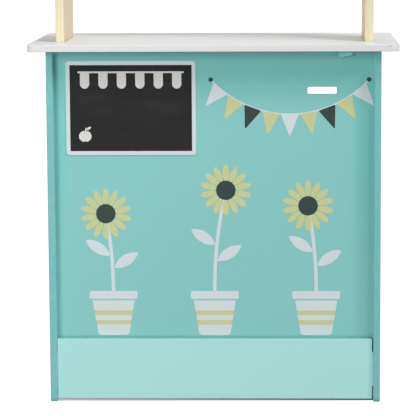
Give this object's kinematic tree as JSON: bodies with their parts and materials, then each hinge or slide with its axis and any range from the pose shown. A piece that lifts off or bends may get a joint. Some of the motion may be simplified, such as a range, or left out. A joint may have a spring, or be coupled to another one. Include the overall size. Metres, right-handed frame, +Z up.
{
  "type": "toy market stall",
  "caption": "Painted board play counter with a recessed chalkboard front, card slot, turn button, shelves behind and pine uprights that carry a header board.",
  "frame": {"origin": "on the floor, under the middle of the countertop", "axes": "+Z up, -Y towards the customer's side, +X to the right seen from there"},
  "size_m": [0.64, 0.35, 1.23],
  "materials": {
    "teal_paint": "satin paint on fibreboard",
    "mint_paint": "satin paint on fibreboard",
    "white_lacquer": "satin lacquer on fibreboard",
    "pine": "clear matt lacquer",
    "beech": "raw",
    "chalkboard": "matt chalk film",
    "white_border": "satin film",
    "painted_screw": "satin paint",
    "nylon": "moulded",
    "zinc_steel": "zinc plated"
  },
  "bodies": {
    "stall": {"countertop": "white_lacquer", "left_side_panel": "teal_paint", "right_side_panel": "teal_paint", "front_panel": "teal_paint", "kickboard": "mint_paint", "left_upright": "pine", "right_upright": "pine", "header_board": "mint_paint", "tie_rail": "pine", "mid_shelf": "white_lacquer", "bottom_shelf": "white_lacquer", "back_rail": "white_lacquer", "left_top_cleat": "pine", "right_top_cleat": "pine", "chalkboard_sheet": "chalkboard", "chalkboard_frame": "white_border", "turn_screw": "painted_screw", "turn_washer": "nylon", "shelf_bolts": "zinc_steel", "barrel_nuts": "zinc_steel", "shelf_dowels": "beech", "top_dowels": "beech", "upright_bolts": "zinc_steel", "sleeve_nuts": "zinc_steel", "kick_screws": "zinc_steel", "cleat_screws": "zinc_steel", "header_screws": "zinc_steel", "tie_screws": "zinc_steel"},
    "turn_button": {"turn_button": "teal_paint"}
  },
  "joints": [
    {"name": "turn_button_swivel", "type": "hinge", "parent": "stall", "child": "turn_button", "pos_m": [0.221, -0.1418, 0.6112], "axis": [0, 1, 0], "range_deg": [0, 180]}
  ]
}
